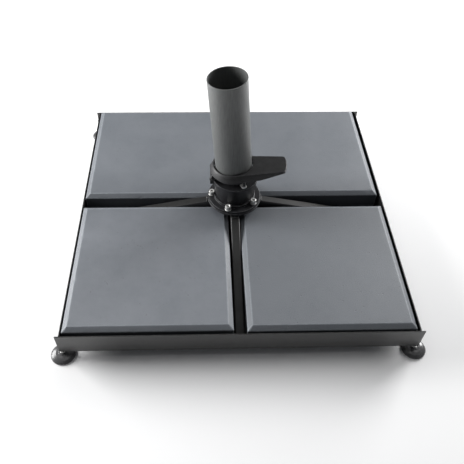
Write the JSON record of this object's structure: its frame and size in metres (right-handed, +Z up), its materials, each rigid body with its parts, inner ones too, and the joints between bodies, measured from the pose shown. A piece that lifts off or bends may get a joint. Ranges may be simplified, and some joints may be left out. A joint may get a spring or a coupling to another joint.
{
  "type": "parasol base",
  "caption": "Square steel-framed parasol base holding loose ballast slabs, with levelling feet, a bolted hub and a rotating leaning mast tube released by a foot pedal.",
  "frame": {"origin": "on the floor under the hub, at the centre of the overall footprint's bottom", "axes": "+Z up along the hub's turning axis; -Y is the front rail's side; +X is the side the foot pedal points to at rest"},
  "size_m": [1.082, 1.052, 0.5955],
  "materials": {
    "frame_paint": "satin",
    "slab_concrete": "matte concrete",
    "zinc": "zinc plated",
    "cast_black": "satin black coat",
    "pedal_black": "satin",
    "pin_black": "black oxide",
    "mast_paint": "metallic satin",
    "bare_steel": "turned",
    "bush_brass": "turned",
    "glide_plastic": "smooth",
    "foot_plastic": "gloss"
  },
  "bodies": {
    "base": {"rail_front": "frame_paint", "rail_rear": "frame_paint", "rail_left": "frame_paint", "rail_right": "frame_paint", "foot_sleeves": "frame_paint", "arm_front": "frame_paint", "arm_rear": "frame_paint", "arm_left": "frame_paint", "arm_right": "frame_paint", "support_strips": "frame_paint", "core_plate": "frame_paint", "arm_end_bolts": "zinc", "arm_end_nuts": "zinc", "slab_front_left": "slab_concrete", "slab_front_right": "slab_concrete", "slab_rear_left": "slab_concrete", "slab_rear_right": "slab_concrete", "hub_plate": "frame_paint", "spindle": "bare_steel", "thrust_washer": "glide_plastic", "retainer_ring": "cast_black", "ring_bolts": "zinc", "ring_washers": "zinc"},
    "turret": {"turret": "cast_black", "bush_lower": "bush_brass", "bush_upper": "bush_brass", "mast": "mast_paint", "mast_screws": "zinc", "pedal_pin": "pin_black", "pin_clips": "pin_black", "pedal_spring": "zinc"},
    "pedal": {"pedal": "pedal_black"},
    "lock_plunger": {"lock_plunger": "zinc"},
    "foot_front_left": {"foot_pad_front_left": "foot_plastic", "foot_stud_front_left": "zinc"},
    "foot_front_right": {"foot_pad_front_right": "foot_plastic", "foot_stud_front_right": "zinc"},
    "foot_rear_left": {"foot_pad_rear_left": "foot_plastic", "foot_stud_rear_left": "zinc"},
    "foot_rear_right": {"foot_pad_rear_right": "foot_plastic", "foot_stud_rear_right": "zinc"}
  },
  "joints": [
    {"name": "turret_turn", "type": "hinge", "parent": "base", "child": "turret", "pos_m": [0, 0, 0.15], "axis": [0, 0, 1], "continuous": true},
    {"name": "pedal_press", "type": "hinge", "parent": "turret", "child": "pedal", "pos_m": [-0.073, 0, 0.249], "axis": [0, 1, 0], "range_deg": [0, 3], "stiffness_Nm_per_rad": 56, "springref_deg": -8.37, "deforming": ["pedal_spring"]},
    {"name": "plunger_slide", "type": "slide", "parent": "turret", "child": "lock_plunger", "axis": [0, 0, 1], "range_m": [-0.0053, 0]},
    {"name": "foot_level_front_left", "type": "slide", "parent": "base", "child": "foot_front_left", "axis": [0, 0, 1], "range_m": [-0.008, 0.004]},
    {"name": "foot_level_front_right", "type": "slide", "parent": "base", "child": "foot_front_right", "axis": [0, 0, 1], "range_m": [-0.008, 0.004]},
    {"name": "foot_level_rear_left", "type": "slide", "parent": "base", "child": "foot_rear_left", "axis": [0, 0, 1], "range_m": [-0.008, 0.004]},
    {"name": "foot_level_rear_right", "type": "slide", "parent": "base", "child": "foot_rear_right", "axis": [0, 0, 1], "range_m": [-0.008, 0.004]}
  ],
  "couplings": [
    {"joint": "plunger_slide", "follows": "pedal_press", "m_per_rad": -0.0975}
  ]
}
